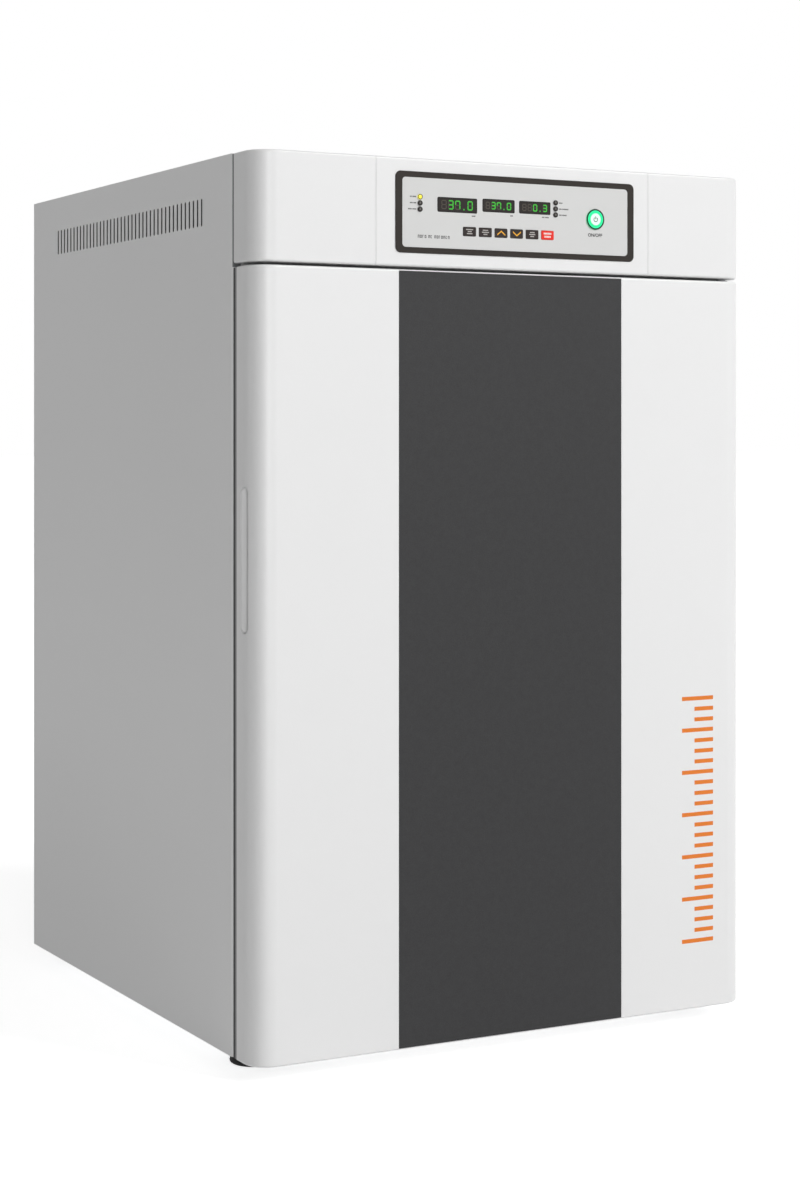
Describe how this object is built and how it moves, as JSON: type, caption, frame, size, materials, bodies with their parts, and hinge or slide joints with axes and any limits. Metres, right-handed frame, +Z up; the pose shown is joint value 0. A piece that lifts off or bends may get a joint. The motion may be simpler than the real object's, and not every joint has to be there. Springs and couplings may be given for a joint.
{
  "type": "carbon dioxide incubator",
  "caption": "Upright insulated laboratory incubator with a solid outer door, a glass inner door, perforated shelves, a water pan and a control fascia with lit displays.",
  "frame": {"origin": "on the bench under the middle of the object's box, spigot and power button included", "axes": "+Z up, -Y out of the front, +X to the right as one faces the door"},
  "size_m": [0.6, 0.6798, 0.932],
  "materials": {
    "paint_white": "satin powder coat",
    "moulded_white": "smooth painted moulding",
    "graphite_panel": "fine-grained satin",
    "stainless": "brushed",
    "zinc_steel": "plain zinc-coated",
    "foot_rubber": "matt",
    "seal_grey": "matt",
    "seal_pale": "matt",
    "bezel_dark": "satin",
    "overlay_grey": "satin film",
    "display_window": "smoked window",
    "lamp_lens": "smoked lens",
    "key_dark": "satin",
    "key_red": "satin",
    "ring_green": "lit lens",
    "button_white": "smooth",
    "board_green": "solder mask",
    "brass": "machined",
    "glass": "clear",
    "foam": "rigid foam",
    "filter_white": "pleated paper",
    "moulded_dark": "satin",
    "acetal": "machined",
    "lining_white": "vacuum formed"
  },
  "bodies": {
    "cabinet": {"side_panel_left": "paint_white", "side_panel_right": "paint_white", "top_cover": "paint_white", "rear_panel": "paint_white", "base_pan": "zinc_steel", "front_frame": "paint_white", "electronics_deck": "zinc_steel", "insulation": "foam", "chamber_liner": "stainless", "inner_door_gasket": "seal_pale", "shelf_rack_left": "stainless", "shelf_rack_right": "stainless", "fan_motor": "zinc_steel", "fan_cover": "stainless", "hepa_filter": "filter_white", "co2_sensor": "moulded_dark", "temperature_probe": "stainless", "inner_door_brackets": "stainless", "fascia_end_left": "moulded_white", "fascia_centre": "moulded_white", "fascia_end_right": "moulded_white", "control_bezel": "bezel_dark", "control_overlay": "overlay_grey", "displays": "display_window", "indicator_lamps": "lamp_lens", "power_button_ring": "ring_green", "control_board": "board_green", "power_supply": "zinc_steel", "gas_valve": "brass", "co2_inlet": "brass", "port_tube": "acetal", "port_stopper": "seal_pale", "power_inlet": "moulded_dark", "rear_screws": "zinc_steel", "feet": "foot_rubber", "foot_screws": "zinc_steel", "door_hinge_brackets": "zinc_steel"},
    "door": {"door_shell": "paint_white", "door_front_panel": "graphite_panel", "door_liner": "lining_white", "door_foam": "foam", "door_gasket": "seal_grey", "door_grip_cup": "moulded_white", "door_bushes": "acetal"},
    "glass_door": {"inner_door_glass": "glass", "inner_door_hinges": "stainless", "inner_door_knob": "moulded_dark"},
    "shelf_low": {"shelf_1": "stainless"},
    "shelf_middle": {"shelf_2": "stainless"},
    "shelf_high": {"shelf_3": "stainless"},
    "pan": {"water_pan": "stainless"},
    "fan": {"fan_impeller": "moulded_dark"},
    "power_cap": {"power_button": "button_white"},
    "keycap_1": {"key_1": "key_dark"},
    "keycap_2": {"key_2": "key_dark"},
    "keycap_3": {"key_3": "key_dark"},
    "keycap_4": {"key_4": "key_dark"},
    "keycap_5": {"key_5": "key_dark"},
    "keycap_6": {"key_6": "key_red"}
  },
  "joints": [
    {"name": "door_hinge", "type": "hinge", "parent": "cabinet", "child": "door", "pos_m": [0.285, -0.31235, 0.418], "axis": [0, 0, 1], "range_deg": [0, 110]},
    {"name": "glass_hinge", "type": "hinge", "parent": "cabinet", "child": "glass_door", "pos_m": [0.254, -0.28235, 0.408], "axis": [0, 0, 1], "range_deg": [0, 99]},
    {"name": "shelf_low_slide", "type": "slide", "parent": "cabinet", "child": "shelf_low", "axis": [0, -1, 0], "range_m": [0, 0.0768]},
    {"name": "shelf_middle_slide", "type": "slide", "parent": "cabinet", "child": "shelf_middle", "axis": [0, -1, 0], "range_m": [0, 0.0768]},
    {"name": "shelf_high_slide", "type": "slide", "parent": "cabinet", "child": "shelf_high", "axis": [0, -1, 0], "range_m": [0, 0.0768]},
    {"name": "pan_slide", "type": "slide", "parent": "cabinet", "child": "pan", "axis": [0, -1, 0], "range_m": [0, 0.0768]},
    {"name": "fan_spin", "type": "hinge", "parent": "cabinet", "child": "fan", "pos_m": [0, 0.21465, 0.65], "axis": [0, 1, 0], "continuous": true},
    {"name": "power_press", "type": "slide", "parent": "cabinet", "child": "power_cap", "axis": [0, 1, 0], "range_m": [0, 0.0015], "stiffness_N_per_m": 600},
    {"name": "key_1_press", "type": "slide", "parent": "cabinet", "child": "keycap_1", "axis": [0, 1, 0], "range_m": [0, 0.0005], "stiffness_N_per_m": 800},
    {"name": "key_2_press", "type": "slide", "parent": "cabinet", "child": "keycap_2", "axis": [0, 1, 0], "range_m": [0, 0.0005], "stiffness_N_per_m": 800},
    {"name": "key_3_press", "type": "slide", "parent": "cabinet", "child": "keycap_3", "axis": [0, 1, 0], "range_m": [0, 0.0005], "stiffness_N_per_m": 800},
    {"name": "key_4_press", "type": "slide", "parent": "cabinet", "child": "keycap_4", "axis": [0, 1, 0], "range_m": [0, 0.0005], "stiffness_N_per_m": 800},
    {"name": "key_5_press", "type": "slide", "parent": "cabinet", "child": "keycap_5", "axis": [0, 1, 0], "range_m": [0, 0.0005], "stiffness_N_per_m": 800},
    {"name": "key_6_press", "type": "slide", "parent": "cabinet", "child": "keycap_6", "axis": [0, 1, 0], "range_m": [0, 0.0005], "stiffness_N_per_m": 800}
  ],
  "couplings": [
    {"joint": "glass_hinge", "follows": "door_hinge", "ratio": 0.9},
    {"joint": "shelf_low_slide", "follows": "door_hinge", "m_per_rad": 0.04},
    {"joint": "shelf_middle_slide", "follows": "door_hinge", "m_per_rad": 0.04},
    {"joint": "shelf_high_slide", "follows": "door_hinge", "m_per_rad": 0.04},
    {"joint": "pan_slide", "follows": "door_hinge", "m_per_rad": 0.04}
  ]
}
